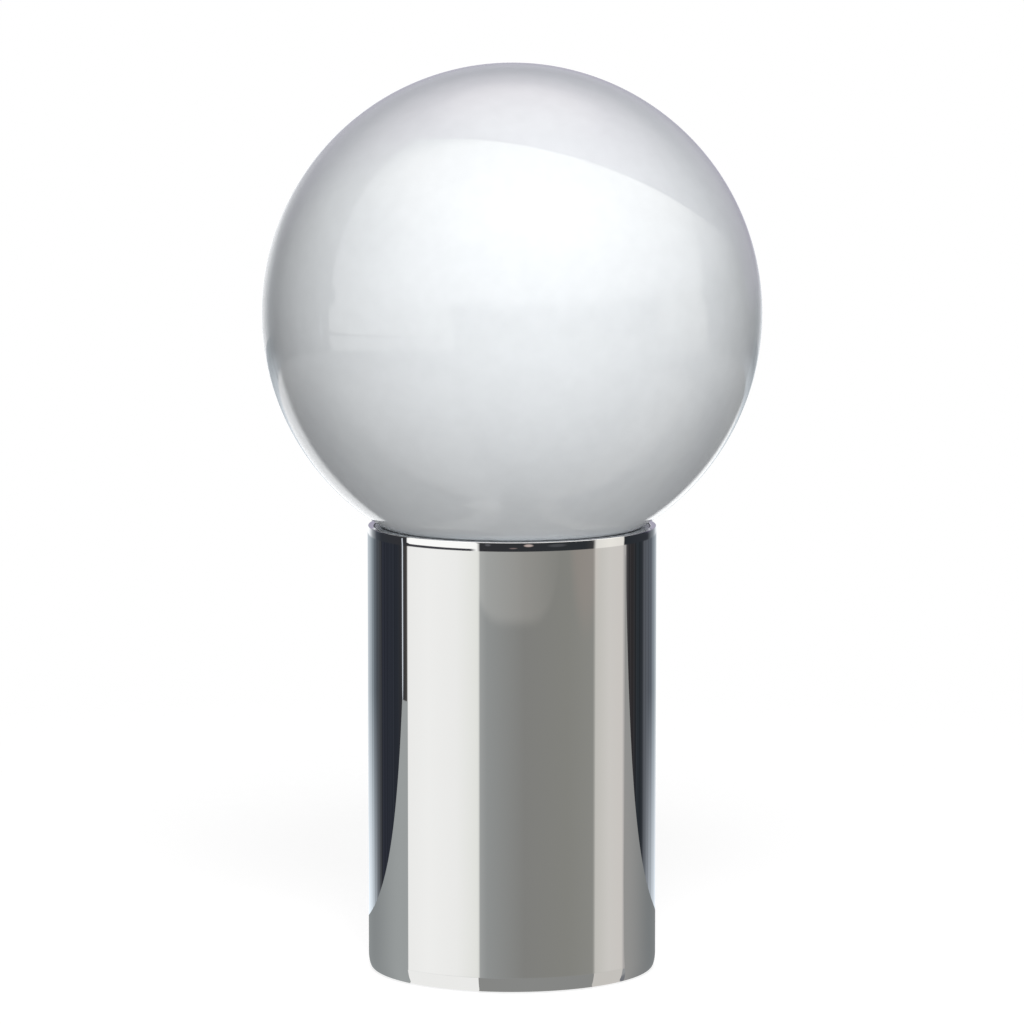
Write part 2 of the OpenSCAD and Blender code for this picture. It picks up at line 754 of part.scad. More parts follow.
module earth_washer() {
    color(steel) translate([earth_x, earth_y, weight_top]) difference() {
        cylinder(r = earth_washer_r, h = earth_washer_t, $fn = small_fn);
        translate([0, 0, -eps])
            cylinder(r = earth_screw_r + screw_play, h = earth_washer_t + 2 * eps, $fn = small_fn);
        for (i = [0:earth_teeth - 1]) rotate([0, 0, 360 * i / earth_teeth])
            translate([earth_washer_r - earth_tooth_l, -slot_w / 2, -eps])
                cube([2 * earth_tooth_l, slot_w, earth_washer_t + 2 * eps]);
    }
}

module bulb_diffuser() {
    color("white") difference() {
        translate([0, 0, bulb_centre_z]) sphere(r = bulb_r);
        translate([0, 0, bulb_centre_z]) sphere(r = bulb_r - bulb_wall);
        translate([0, 0, body_top - bulb_d]) cylinder(r = bulb_d, h = bulb_d);
    }
}

module bulb_body() {
    color("white") rotate_extrude() polygon([
        [body_key_r, cap_top - collar_bite], [body_key_r, body_floor_z],
        [body_collar_r, body_floor_z], [body_collar_r, cap_top + collar_h],
        [body_collar_r + flare_w, cap_top + flare_h],
        [body_top_r - shoulder_w, body_top - shoulder_h], [body_top_r, body_top - screw_play],
        [board_r, body_top - screw_play], [board_r, board_z - screw_play],
        [board_r - board_ledge_w, board_z - screw_play],
        [body_collar_r, cap_top + flare_h + collar_bite],
        [body_key_r - bulb_wall, cap_top + collar_h + collar_bite],
        [body_key_r - bulb_wall, cap_top - collar_bite]
    ]);
}

module bulb_cap() {
    skirt_r = thread_r + thread_e;
    outer = screw_rings(thread_r, cap_thread_z, cap_skirt_z, -1);
    rest = [plain_ring(skirt_r, cap_skirt_z + cap_skirt_rise), plain_ring(skirt_r, cap_top),
            plain_ring(cap_ir, cap_top), plain_ring(cap_ir, cap_thread_z)];
    color(steel) ring_wall(concat(outer, rest));
}

module bulb_insulator() {
    insulator_r = cap_ir - insulator_play;
    cone_h = insulator_h - contact_h;
    color("black") translate([0, 0, bulb_z + contact_h]) {
        cylinder(r1 = contact_r + insulator_rim_w, r2 = insulator_r, h = cone_h);
        translate([0, 0, cone_h])
            cylinder(r = insulator_r, h = cap_thread_z - bulb_z - insulator_h + insulator_key_h);
    }
}

module bulb_contact() {
    color(brass) translate([0, 0, bulb_z])
        cylinder(r1 = contact_r - contact_tip_in, r2 = contact_r, h = contact_h - braze_gap, $fn = small_fn);
}

module bulb_board() {
    color("honeydew") translate([0, 0, board_z]) cylinder(r = board_r - screw_play, h = board_t);
}

module bulb_leds() {
    color("khaki") for (i = [0:led_count - 1]) rotate([0, 0, 360 * i / led_count])
        translate([led_ring_r - led_w / 2, -led_w / 2, board_z + board_t]) cube([led_w, led_w, led_t]);
}

base_tube();
upper_ledge_ring();
lower_ledge_ring();
base_weight();
foot_pad();
tie_rod();
rod_nuts();
rod_washers();
rod_bush();
globe_carrier();
seat_ring();
globe();
holder_cap();
holder_sleeve();
holder_insert();
holder_terminals();
terminal_screws();
screw_shell();
centre_contact();
holder_grub_screw();
cord_grommet();
terminal_block();
block_clamp_screws();
block_screws();
live_lead();
neutral_lead();
earth_lead();
earth_terminal();
earth_screw();
earth_washer();
bulb_diffuser();
bulb_body();
bulb_cap();
bulb_insulator();
bulb_contact();
bulb_board();
bulb_leds();
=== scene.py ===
# %% [markdown]
# # A table lamp: an opal glass ball on a polished metal tube
#
# The lamp's construction is already drawn, and comes in here as a fixed frame of named nodes.
# This lesson dresses it. It builds the plain studio that the polish shows, then the tube and
# the ball again with surfaces fine enough for a mirror polish, and gives every other part its
# own finish. Every length is in metres, in the same frame as the construction.

# %% Load the frame
import json
import math

import bmesh
import bpy
from mathutils import Matrix, Vector

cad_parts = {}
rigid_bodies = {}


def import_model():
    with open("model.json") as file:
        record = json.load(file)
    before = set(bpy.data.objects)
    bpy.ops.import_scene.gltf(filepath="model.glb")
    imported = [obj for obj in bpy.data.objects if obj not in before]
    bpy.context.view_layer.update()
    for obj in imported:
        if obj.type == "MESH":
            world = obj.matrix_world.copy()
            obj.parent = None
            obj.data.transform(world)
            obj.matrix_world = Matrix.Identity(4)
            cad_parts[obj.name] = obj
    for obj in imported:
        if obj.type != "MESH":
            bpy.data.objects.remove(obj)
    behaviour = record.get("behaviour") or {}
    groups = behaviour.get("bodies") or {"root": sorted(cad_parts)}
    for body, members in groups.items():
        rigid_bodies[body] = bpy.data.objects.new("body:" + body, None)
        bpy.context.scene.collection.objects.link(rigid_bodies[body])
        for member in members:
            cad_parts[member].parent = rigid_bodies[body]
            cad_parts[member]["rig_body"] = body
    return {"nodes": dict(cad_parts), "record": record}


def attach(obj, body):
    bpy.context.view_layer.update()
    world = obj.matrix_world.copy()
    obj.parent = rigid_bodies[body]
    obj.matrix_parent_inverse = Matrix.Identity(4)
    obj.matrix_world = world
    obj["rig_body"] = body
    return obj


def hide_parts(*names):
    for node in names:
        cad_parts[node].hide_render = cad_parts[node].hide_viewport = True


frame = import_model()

MM = 0.001
nodes = frame["nodes"]
scene = bpy.context.scene
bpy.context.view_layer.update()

# %% [markdown]
# ## The camera
#
# A long lens far away keeps the sides of the tube almost parallel, as in the photograph.
# Its distance, height and tilt follow from the outlines of the ball and of the tube: the
# ellipse of the lip says how steeply the camera looks down, and the narrowing of the tube
# towards its foot says how near it stands. Depth of field stays off, so all of it is sharp.

# %% Set up the camera
CAMERA_PLACE = (0.0, -2.2172, 0.4529)
CAMERA_TILT = 6.89            # degrees below the horizon
FOCAL_PIXELS, FRAME_PIXELS = 5561, 1024
SENSOR = 36.0                 # millimetres, along the long side

camera_data = bpy.data.cameras.new("camera")
camera_data.sensor_width = SENSOR
camera_data.lens = FOCAL_PIXELS / FRAME_PIXELS * SENSOR
camera = bpy.data.objects.new("camera", camera_data)
camera.location = CAMERA_PLACE
camera.rotation_euler = (math.radians(90 - CAMERA_TILT), 0, 0)
scene.collection.objects.link(camera)
scene.camera = camera
scene.view_settings.view_transform = "Standard"
print("camera: lens", round(camera_data.lens, 1), "mm")

# %% [markdown]
# ## Small helpers for node trees
#
# A node tree is a row of boxes joined by links. These helpers add a box, fill its sockets
# and return its output, so that the cells below can be read as sums rather than as wiring.

# %% Add a node and fill it
def put(tree, socket, value):
    """Links a socket to an output, or sets it to a plain value."""
    if value is None:
        return
    if isinstance(value, bpy.types.NodeSocket):
        tree.links.new(value, socket)
    else:
        socket.default_value = value


def add_node(tree, kind, *values, **settings):
    """Adds a node, sets its own settings and fills its inputs in order."""
    made = tree.nodes.new(kind)
    for key, value in settings.items():
        setattr(made, key, value)
    for socket, value in zip(made.inputs, values):
        put(tree, socket, value)
    return made


def calc(tree, operation, *values):
    """One Math node."""
    return add_node(tree, "ShaderNodeMath", *values, operation=operation).outputs[0]


print("node helpers ready")

# %% [markdown]
# Soft edges and colours come next. An eased rise is kinder to the eye than a straight one,
# because it has no corner where it starts. A colour ramp lays many colours along one value.

# %% Eased rises, colours and ramps
def rise(tree, value, low, high, bottom=0.0, top=1.0):
    """Eases from bottom to top while value goes from low to high."""
    made = add_node(tree, "ShaderNodeMapRange", interpolation_type="SMOOTHSTEP")
    for name, given in (("Value", value), ("From Min", low), ("From Max", high),
                        ("To Min", bottom), ("To Max", top)):
        put(tree, made.inputs[name], given)
    return made.outputs[0]


def blend(tree, share, first, second):
    """A colour mix: first where share is 0, second where it is 1."""
    made = add_node(tree, "ShaderNodeMix", data_type="RGBA")
    for place, given in ((0, share), (6, first), (7, second)):
        put(tree, made.inputs[place], given)
    return made.outputs[2]


def rgb(red, green=None, blue=None):
    """A colour with its alpha; one number alone is a grey."""
    return (red, red if green is None else green, red if blue is None else blue, 1.0)


def ramp(tree, value, stops):
    """A colour ramp through (place, colour) stops, with places from 0 to 1."""
    made = add_node(tree, "ShaderNodeValToRGB", value)
    band = made.color_ramp.elements
    while len(band) < len(stops):
        band.new(0.5)
    for element, (place, colour) in zip(band, stops):
        element.position = place
    for element, (place, colour) in zip(band, stops):
        element.color = colour
    return made.outputs[0]


print("colour helpers ready")

# %% [markdown]
# ## The studio, as a mirror sees it
#
# A mirror-polished tube has no colour of its own: all that it shows is the room around it.
# The room could be built from panels on stands, but a world shader is lighter and gives
# crisp edges at any distance. It turns the direction of a ray into a compass bearing
# (0 towards the camera, plus to the right) and a height above the horizon, and lays the
# room out on those two: a white panel at the left, a grey room behind the camera, a warm
# white panel at the right, darkness beside them, and a pale backdrop behind the lamp.
# The camera sees plain white instead, and matt surfaces are lit by an even soft light, so
# the pattern only shows where something is glossy.

# %% Bearing and height of a ray
world = bpy.data.worlds.new("studio")
world.use_nodes = True
scene.world = world
sky = world.node_tree
sky.nodes.clear()

direction = add_node(sky, "ShaderNodeTexCoord").outputs["Generated"]
right, back, up = add_node(sky, "ShaderNodeSeparateXYZ", direction).outputs
front = calc(sky, "MULTIPLY", back, -1.0)
bearing = calc(sky, "DEGREES", calc(sky, "ARCTAN2", right, front))
height = calc(sky, "DEGREES", calc(sky, "ARCSINE", up))
compass = calc(sky, "MULTIPLY_ADD", bearing, 1 / 360, 0.5)
print("bearing and height ready")

# %% [markdown]
# The studio is one long sum of soft shares, so it gets its own short words. Two shares
# multiplied are 1 only where both are, and a dot product tells how far a ray is from an axis.

# %% Shorthand for the studio
def at(*stops):
    """Ramp stops given by their bearing in degrees."""
    return [(degrees / 360 + 0.5, rgb(*colour)) for degrees, *colour in stops]


def ease(value, low, high, bottom=0.0, top=1.0):
    """Eases from bottom to top while value goes from low to high."""
    return rise(sky, value, low, high, bottom, top)


def both(first, second):
    """The product of two shares."""
    return calc(sky, "MULTIPLY", first, second)


def unsigned(value):
    """A value without its sign."""
    return calc(sky, "ABSOLUTE", value)


def lay(share, below, above):
    """Lays one colour over another by a share."""
    return blend(sky, share, below, above)


def add_light(share, colour, extra):
    """Adds an extra colour to another one by a share."""
    more = add_node(sky, "ShaderNodeVectorMath", colour, extra, operation="ADD")
    return lay(share, colour, more.outputs["Vector"])


def towards(axis):
    """The cosine of the angle between a ray and an axis."""
    made = add_node(sky, "ShaderNodeVectorMath", direction, axis, operation="DOT_PRODUCT")
    return made.outputs["Value"]


print("studio shorthand ready")

# %% [markdown]
# The low ring of the room is what the upright wall of the tube shows, because the camera
# looks slightly down on it. The bearings of the panels' edges are read from the straight
# upright edges in the tube. Its colours go round from behind the lamp, past the left panel,
# the grey room and the right panel, and back.

# %% The low ring
low_ring = ramp(sky, compass, at(
    (-180, .70, .75, .80), (-158, .50, .56, .61), (-147, .24, .28, .315),
    (-140, .105, .12, .14), (-128.6, .054, .056, .062), (-127.2, .033, .037, .052),
    (-104, .03, .035, .046), (-98.5, .045, .045, .05), (-92.6, .075, .07, .065),
    (-91.4, 1.17, 1.17, 1.15), (-70, 1.21, 1.21, 1.19), (-45, 1.17, 1.17, 1.15),
    (-26.8, 1.06, 1.07, 1.02), (-25.6, .46, .475, .47), (-20, .38, .395, .39),
    (10, .30, .30, .285), (45, .315, .315, .29), (68.4, .345, .345, .32),
    (70, .73, .715, .67), (84, .83, .805, .765), (99.4, .82, .785, .745),
    (100.6, .56, .54, .53), (103, .54, .52, .51), (104.2, .058, .056, .06),
    (112, .038, .035, .037), (120, .03, .038, .046), (128, .032, .037, .044),
    (131.5, .12, .13, .15), (146, .115, .13, .155), (156, .28, .32, .36),
    (168, .52, .57, .61), (180, .62, .67, .71)))
print("low ring ready")

# %% [markdown]
# Two soft things lie in that ring: a pale shape with a rounded foot in the grey room, and a
# faint warm one at its right. A rounded shape is a sum of powers, which passes 1 at its
# outline: with both powers at 2 it is an ellipse, and higher powers make it boxier.

# %% Soft shapes in the low ring
def rounded(middle, half_width, level, half_height, soft, powers=(2.0, 2.0)):
    """Is 1 inside a rounded shape of bearings and heights, and 0 outside."""
    wide = calc(sky, "MULTIPLY_ADD", bearing, 1 / half_width, -middle / half_width)
    tall = calc(sky, "MULTIPLY_ADD", height, 1 / half_height, -level / half_height)
    spread = calc(sky, "ADD", calc(sky, "POWER", unsigned(wide), powers[0]),
                  calc(sky, "POWER", unsigned(tall), powers[1]))
    return ease(spread, 1 + soft, 1 - soft)


pale_shape = rounded(3, 36, -7.0, 1.03, .16, powers=(4.0, 2.0))
pale_shape = both(pale_shape, ease(bearing, -27.0, -25.8))      # starts at the left panel's edge
pale_shape = both(pale_shape, ease(bearing, 46, 2))             # and fades to the right
low_ring = add_light(pale_shape, low_ring, (.105, .10, .092))
low_ring = add_light(rounded(61, 13, -7.0, 1.0, .7), low_ring, (.05, .022, .016))
print("soft shapes ready")

# %% [markdown]
# Behind the lamp the ring brightens downwards, where the pale backdrop meets the table. In
# the dark parts beside the panels the real tube shows faint upright streaks. A noise along
# the bearing alone draws them.

# %% The far side and the streaks
deeper = ease(height, -7.3, -12.2, -.22, .85)
far_side = ease(unsigned(bearing), 128, 150)
low_ring = add_light(both(deeper, far_side), low_ring, (.60, .64, .68))

STREAK_SCALE, STREAK_DETAIL, STREAK_SHIFT = .45, 2.0, .24
DARK_MIDDLE = 130             # the bearing of the dark parts, on either side
streaks = add_node(sky, "ShaderNodeTexNoise", None, bearing, STREAK_SCALE, STREAK_DETAIL,
                   noise_dimensions="1D").outputs[0]
beside = ease(unsigned(calc(sky, "SUBTRACT", unsigned(bearing), DARK_MIDDLE)), 32, 22)
shift = both(ease(streaks, .35, .65, -STREAK_SHIFT, STREAK_SHIFT), beside)
low_ring = add_node(sky, "ShaderNodeVectorMath", low_ring, None, None,
                    calc(sky, "ADD", shift, 1.0), operation="SCALE").outputs["Vector"]
print("streaks ready")

# %% [markdown]
# Just above it comes the ring that the leaning lip shows: the same panels, brighter, with
# the dark room between them. A thin dark gap under the left panel separates the two rings.

# %% The lip's ring
lip_ring = ramp(sky, compass, at(
    (-180, 1.10, 1.13, 1.16), (-166, 1.16, 1.18, 1.21), (-160, 1.10, 1.13, 1.16),
    (-154, .80, .83, .87), (-148, .40, .43, .46), (-138, .08, .09, .11),
    (-128, .04, .045, .055), (-92.8, .045, .045, .05), (-91.4, 1.38, 1.38, 1.36),
    (-40, 1.36, 1.36, 1.34), (-27.5, 1.32, 1.32, 1.29), (-25.5, .045, .045, .05),
    (60, .035, .04, .045), (68, .06, .06, .06), (70.5, 1.02, 1.0, .94),
    (84, 1.12, 1.09, 1.02), (99.8, 1.05, 1.02, .96), (101.2, .03, .035, .042),
    (138, .04, .045, .055), (147, .18, .20, .22), (154, .30, .33, .36),
    (160, .54, .57, .61), (166, .84, .88, .92), (180, 1.0, 1.03, 1.06)))
in_gap = both(ease(height, -7.05, -6.95), ease(height, -6.2, -6.35))
gap_side = both(ease(bearing, -95, -92), ease(bearing, -27, -34))
lip_ring = lay(both(in_gap, gap_side), lip_ring, rgb(.07, .07, .08))
print("lip ring ready")

# %% [markdown]
# Small lights of the room glint in the dark middle of the lip, and the panels' corners are
# rounded off by dark bites. Each is a soft ellipse: bearing, half width, height, half height.

# %% Glints and corners in the lip
GLINTS = (((13.0, 3.4, -.3, 2.2), (.62, .50, .46)),
          ((1.0, 3.0, -4.9, .9), (.22, .16, .15)),
          ((-19.0, 2.2, .5, 2.0), (.08, .08, .09)),
          ((36.0, 7.0, -1.5, 2.4), (.05, .05, .055)))
CORNERS = ((-92.0, 3.4, 5.4, 3.4), (-92.0, 2.4, -6.6, 1.3), (-26.4, 2.6, 5.4, 2.6),
           (100.6, 3.2, 5.4, 3.4), (69.6, 1.6, 5.4, 2.4))
for place, extra in GLINTS:
    lip_ring = add_light(rounded(*place, .8), lip_ring, extra)
for place in CORNERS:
    lip_ring = lay(rounded(*place, .3), lip_ring, rgb(.05, .05, .055))
print("glints:", len(GLINTS), "corners:", len(CORNERS))

# %% [markdown]
# Higher up, only the ball shows the room. Soft light fills the front and the ceiling, and
# ends at a long round edge behind the lamp, which draws the arc near the top of the glass.
# Round edges are easy on a sphere of directions: every direction within a fixed angle of
# one axis lies inside a circle, and a dot product tells how far from the axis it is.

# %% The edges of the light room
DARK_AXIS = (.185, .654, .734)      # up and behind
DARK_SHARE = .714                   # the cosine of the circle's half angle
EDGE_SHARE = .005                   # how soft the circle's edge is
off_axis = towards(DARK_AXIS)
under_box = ease(off_axis, DARK_SHARE + EDGE_SHARE, DARK_SHARE - EDGE_SHARE)


def past_edge(start, bend):
    """Degrees past an edge whose bearing drifts with the square of the height."""
    edge = calc(sky, "MULTIPLY_ADD", calc(sky, "POWER", height, 2.0), bend, start)
    return calc(sky, "SUBTRACT", bearing, edge)


past_left = ease(past_edge(-92.0, -0.0088), -1.0, 1.0)
short_of_right = ease(past_edge(100.0, 0.017), 1.0, -1.0)
beyond_left = both(ease(bearing, -140, -114, 0, .3), ease(height, 15, 25))
beyond_right = ease(bearing, 142, 112, 0, .62)
between = both(calc(sky, "MAXIMUM", past_left, beyond_left),
               calc(sky, "MAXIMUM", short_of_right, beyond_right))
print("edges ready")

# %% [markdown]
# Beyond the round edge the room is dim and slightly lavender, with a soft glow high up and
# a paler haze low down behind the lamp. That haze is what lightens the outline of the ball.

# %% The dim room behind
GLOW_AXIS = (.03, .41, .91)
deep_room = lay(ease(height, 22, 62), rgb(.09, .075, .165), rgb(.62, .36, .60))
deep_room = add_light(ease(towards(GLOW_AXIS), .90, .985), deep_room, (.85, .80, .75))
dark_room = lay(ease(off_axis, .35, DARK_SHARE), rgb(.06, .06, .065), deep_room)
far_low = both(ease(unsigned(calc(sky, "ADD", bearing, 4.0)), 134, 160), ease(height, 30, 14))
low_left = both(ease(right, -.10, -.35), ease(height, 14, 4))
haze = lay(low_left, rgb(.44, .42, .52), rgb(.78, .80, .84))
dark_room = lay(far_low, dark_room, haze)
print("dim room ready")

# %% [markdown]
# In front of the edge the walls are evenly light, and the ceiling is brightest: it whitens
# the upper half of the ball.

# %% The upper room
front_room = ramp(sky, compass, at(
    (-180, 1.0), (-110, 1.0), (-76, 1.25), (-54, 2.0), (-25, 1.75), (10, 1.55),
    (45, 1.65), (75, 1.9), (94, 1.9), (108, 1.1), (180, 1.1)))
upper = lay(both(between, under_box), dark_room, front_room)
high_enough = ease(calc(sky, "MULTIPLY_ADD", right, 8.0, height), 20.0, 55.0)
overhead = both(both(under_box, ease(bearing, -120, -90)), high_enough)
upper = lay(overhead, upper, rgb(2.95, 2.85, 2.75))
print("upper room ready")

# %% [markdown]
# The table fills the ground. Seen far behind the lamp it is as bright as the backdrop. Near
# the lamp it is grey, and straight below it mirrors the panels, as a white table would.

# %% The table's share of the ground
near_table = ramp(sky, compass, at(
    (-180, .30, .31, .32), (-130, .22, .23, .25), (-100, .34, .35, .36), (-88, .86, .87, .86),
    (-40, .84, .85, .84), (-30, .80, .81, .80), (-24, .37, .375, .37), (0, .33, .335, .33),
    (66, .35, .35, .34), (72, .80, .78, .74), (98, .80, .78, .74), (106, .24, .25, .27),
    (140, .20, .21, .23), (180, .30, .31, .32)))
table_top = lay(ease(height, -15, -26), rgb(.40, .41, .415), near_table)
behind = calc(sky, "MULTIPLY_ADD", right, -.15, back)
far_table = both(ease(behind, .83, .90), ease(height, -34, -27))
ground = lay(far_table, table_top, rgb(1.58, 1.60, 1.62))
print("ground ready")

# %% [markdown]
# The rings are joined from the ground up. Behind the lamp the lip's ring gives way to the
# dim room near the horizon, a little lower at the right than at the left. A bright slit
# stands beside the left panel.

# %% The rings joined
fades_at = ease(right, -.10, .10, 2.5, -2.5)
over_fade = ease(calc(sky, "SUBTRACT", height, fades_at), -3, 3)
lip_ring = lay(both(ease(unsigned(bearing), 130, 142), over_fade), lip_ring, dark_room)

low_ring = lay(ease(height, -12.7, -11.6), ground, low_ring)
studio = lay(ease(height, -7.1, -6.9), low_ring, lip_ring)
slit = rounded(-97.7, .66, -4.8, 4.05, .3, powers=(2.0, 24.0))
studio = lay(both(slit, ease(height, -.5, -1.5)), studio, rgb(.84, .90, .97))
studio = lay(ease(height, 4.5, 14.0), studio, upper)
print("studio ready")

# %% [markdown]
# The three kinds of ray are told apart by the Light Path node. A camera ray, or one that
# passes through glass, sees white. A glossy ray sees the studio. Any other ray, which is
# what lights a matt surface, meets one even soft light.

# %% World output
SOFT_LIGHT = 0.14
path = add_node(sky, "ShaderNodeLightPath").outputs
even = add_node(sky, "ShaderNodeBackground", rgb(1.0, .99, .985), SOFT_LIGHT).outputs[0]
mirrored = add_node(sky, "ShaderNodeBackground", studio, 1.0).outputs[0]
white = add_node(sky, "ShaderNodeBackground", rgb(1.0), 1.0).outputs[0]
lighting = add_node(sky, "ShaderNodeMixShader", path["Is Glossy Ray"], even, mirrored).outputs[0]
plain = calc(sky, "MAXIMUM", path["Is Camera Ray"], path["Is Transmission Ray"])
shown = add_node(sky, "ShaderNodeMixShader", plain, lighting, white).outputs[0]
add_node(sky, "ShaderNodeOutputWorld", shown)
print("world ready")

# %% [markdown]
# ## Lamps
#
# The matt body of the opal glass is shaded by real lamps: a broad one in front, a nearer one
# above that whitens the upper half, weaker ones low at the sides, and one behind for views
# from the back. They are hidden from glossy rays, because the world above already draws what
# the polish should show. Each has its place, its size in metres and its power in watts.

# %% Lamps
BALL_MIDDLE = Vector((0, 0, .26))
LAMPS = {
    "front_lamp": ((0, -2.6, .14), .6, 24.3),
    "key_lamp": ((.06, -.98, 1.16), .45, 9.2),
    "right_lamp": ((2.0, -.85, .0), .8, 6.4),
    "left_lamp": ((-1.9, -1.1, .1), .8, .4),
    "back_lamp": ((-.2, 2.5, .95), 1.2, 34),
}
for name, (place, size, power) in LAMPS.items():
    data = bpy.data.lights.new(name, "AREA")
    data.shape, data.size, data.energy = "DISK", size, power
    lamp = bpy.data.objects.new(name, data)
    lamp.location = place
    lamp.rotation_euler = (Vector(place) - BALL_MIDDLE).to_track_quat("Z", "Y").to_euler()
    lamp.visible_glossy = False
    scene.collection.objects.link(lamp)
print("lamps:", len(LAMPS))

# %% [markdown]
# ## The floor
#
# The floor is a plain white sheet. It keeps the lamp's soft contact shadow, and a glow that
# only the camera sees lifts the rest of it to white. Further out it fades away into the
# white world, so no edge shows.

# %% The floor's paint
def new_material(name):
    """An empty material and its node tree."""
    made = bpy.data.materials.new(name)
    made.use_nodes = True
    made.node_tree.nodes.clear()
    return made, made.node_tree


FLOOR_GREY, FLOOR_GLOW = .34, 0.82
FADE_FROM, FADE_TO = .30, .75       # metres from the lamp's middle
floor_paint, tree = new_material("pale_floor")
spot = add_node(tree, "ShaderNodeTexCoord").outputs["Object"]
reach = add_node(tree, "ShaderNodeVectorMath", spot, operation="LENGTH").outputs["Value"]
from_camera = add_node(tree, "ShaderNodeLightPath").outputs["Is Camera Ray"]
matt = add_node(tree, "ShaderNodeBsdfDiffuse", rgb(FLOOR_GREY)).outputs[0]
seen = calc(tree, "MULTIPLY", from_camera, FLOOR_GLOW)
glow = add_node(tree, "ShaderNodeEmission", rgb(1.0), seen).outputs[0]
lit = add_node(tree, "ShaderNodeAddShader", matt, glow).outputs[0]
clear = add_node(tree, "ShaderNodeBsdfTransparent").outputs[0]
faded = calc(tree, "MULTIPLY", rise(tree, reach, FADE_FROM, FADE_TO), from_camera)
add_node(tree, "ShaderNodeOutputMaterial",
         add_node(tree, "ShaderNodeMixShader", faded, lit, clear).outputs[0])
print("floor paint ready")

# %% [markdown]
# A bmesh is a mesh that operators can shape. When it is ready it is written into a mesh
# datablock, which an object then carries into the scene. The floor is the simplest case.

# %% The floor
def into_scene(bm, name):
    """Writes a bmesh out as a named object in the scene."""
    mesh = bpy.data.meshes.new(name)
    bm.to_mesh(mesh)
    bm.free()
    made = bpy.data.objects.new(name, mesh)
    scene.collection.objects.link(made)
    return made


bm = bmesh.new()
bmesh.ops.create_circle(bm, cap_ends=True, segments=96, radius=1.6)
floor = into_scene(bm, "floor")
floor.data.materials.append(floor_paint)
floor.visible_glossy = False
print("floor ready")

# %% [markdown]
# ## The table top in the mirror
#
# Near its foot the tube shows the table that it stands on: a grey strip to the left and
# another to the right, each ending at a slanted edge. Two flat sheets on the floor stand
# for them. Only glossy rays meet them, so the camera still sees a white floor. Their grey
# darkens round the lamp and not along it, so each column of the tube keeps one tone.

# %% Table strips
TUBE_R = 58.0                 # the tube's wall, in millimetres
TURN_POINT = 37 * MM          # the tone turns about a point this far out and forwards


def table_strip(name, corners, near, far, start, end, level=0.2):
    """A flat sheet through the corners (in millimetres) that only a mirror shows."""
    paint, tree = new_material(name)
    spot = add_node(tree, "ShaderNodeTexCoord").outputs["Object"]
    across, deep, _ = add_node(tree, "ShaderNodeSeparateXYZ", spot).outputs
    across = calc(tree, "SUBTRACT", calc(tree, "ABSOLUTE", across), TURN_POINT)
    forwards = calc(tree, "SUBTRACT", -TURN_POINT, deep)
    turned = calc(tree, "DEGREES", calc(tree, "ARCTAN2", across, forwards))
    tone = blend(tree, rise(tree, turned, start, end), near, far)
    shine = add_node(tree, "ShaderNodeEmission", tone, 1.0).outputs[0]
    add_node(tree, "ShaderNodeOutputMaterial", shine)
    bm = bmesh.new()
    ring = [bm.verts.new((x * MM, y * MM, level * MM)) for x, y in corners]
    bmesh.ops.contextual_create(bm, geom=ring)
    made = into_scene(bm, name)
    made.data.materials.append(paint)
    for ray in ("camera", "diffuse", "transmission", "volume_scatter", "shadow"):
        setattr(made, "visible_" + ray, False)


table_strip("table_left", [(0, -42), (-775, -15), (-775, 68), (0, 108)],
            rgb(.44, .465, .465), rgb(.295, .315, .32), 98, 150)
table_strip("table_right", [(40, -36), (106, -24), (156, -14), (208, -4), (263, 6),
                            (1350, 240), (1350, 259), (0, 108), (0, 0)],
            rgb(.40, .40, .39), rgb(.24, .255, .26), 100, 148)
print("table strips ready")

# %% [markdown]
# The rolled heel looks down at the table a finger's breadth away, where the panels stand
# mirrored in it. Three glowing patches round the foot paint that reflection of the room in the
# table, so that the bright bands in the tube run right down to the table.

# %% Patches at the foot
PATCH_IN, PATCH_OUT = -8, 28        # millimetres from the tube's wall
PATCH_STEPS = 4


def reach_from(turned, bearing_there, length):
    """The point a length away from the tube's wall, seen in the wall at a turn of its face."""
    turned, bearing_there = math.radians(turned), math.radians(bearing_there)
    return (TUBE_R * math.sin(turned) + length * math.sin(bearing_there),
            -TUBE_R * math.cos(turned) - length * math.cos(bearing_there))


def painted_reflection_patch(name, start, end, tone):
    """A glowing patch between two turns of the wall, a painted reflection in the table; a mirror
    doubles each turn.
    """
    turns = [start + (end - start) * step / PATCH_STEPS for step in range(PATCH_STEPS + 1)]
    near_edge = [reach_from(turned, turned, PATCH_IN) for turned in turns]
    far_edge = [reach_from(turned, 2 * turned, PATCH_OUT) for turned in turns]
    sides = [reach_from(turned, turned, 0) for turned in (start, end)]
    corners = near_edge[::-1] + [sides[0]] + far_edge + [sides[1]]
    table_strip(name, corners, tone, tone, 0, 1, level=0.35)


# Each patch's glow is a painted reflection in the table: of the left panel, the grey room and the
# warm right panel.
painted_reflection_patch("foot_left", -45.9, -13.3, rgb(1.17, 1.17, 1.15))
painted_reflection_patch("foot_middle", -13.3, 34.4, rgb(.335, .34, .33))
painted_reflection_patch("foot_right", 34.4, 49.9, rgb(.77, .745, .705))
print("foot patches ready")

# %% [markdown]
# ## Drawing an outline and turning it
#
# The tube, the ball and most other parts are turned shapes. Each is drawn as an outline in
# the plane of radius and height, and spun once round the upright axis. The pen below moves
# by straight extrusions, and draws each arc by spinning its last point about a centre. A
# spun shape is merged at its seam and poles before its normals are made to face outwards.

# %% Finish a mesh
CRISP = 40                    # degrees; an edge sharper than this stays crisp


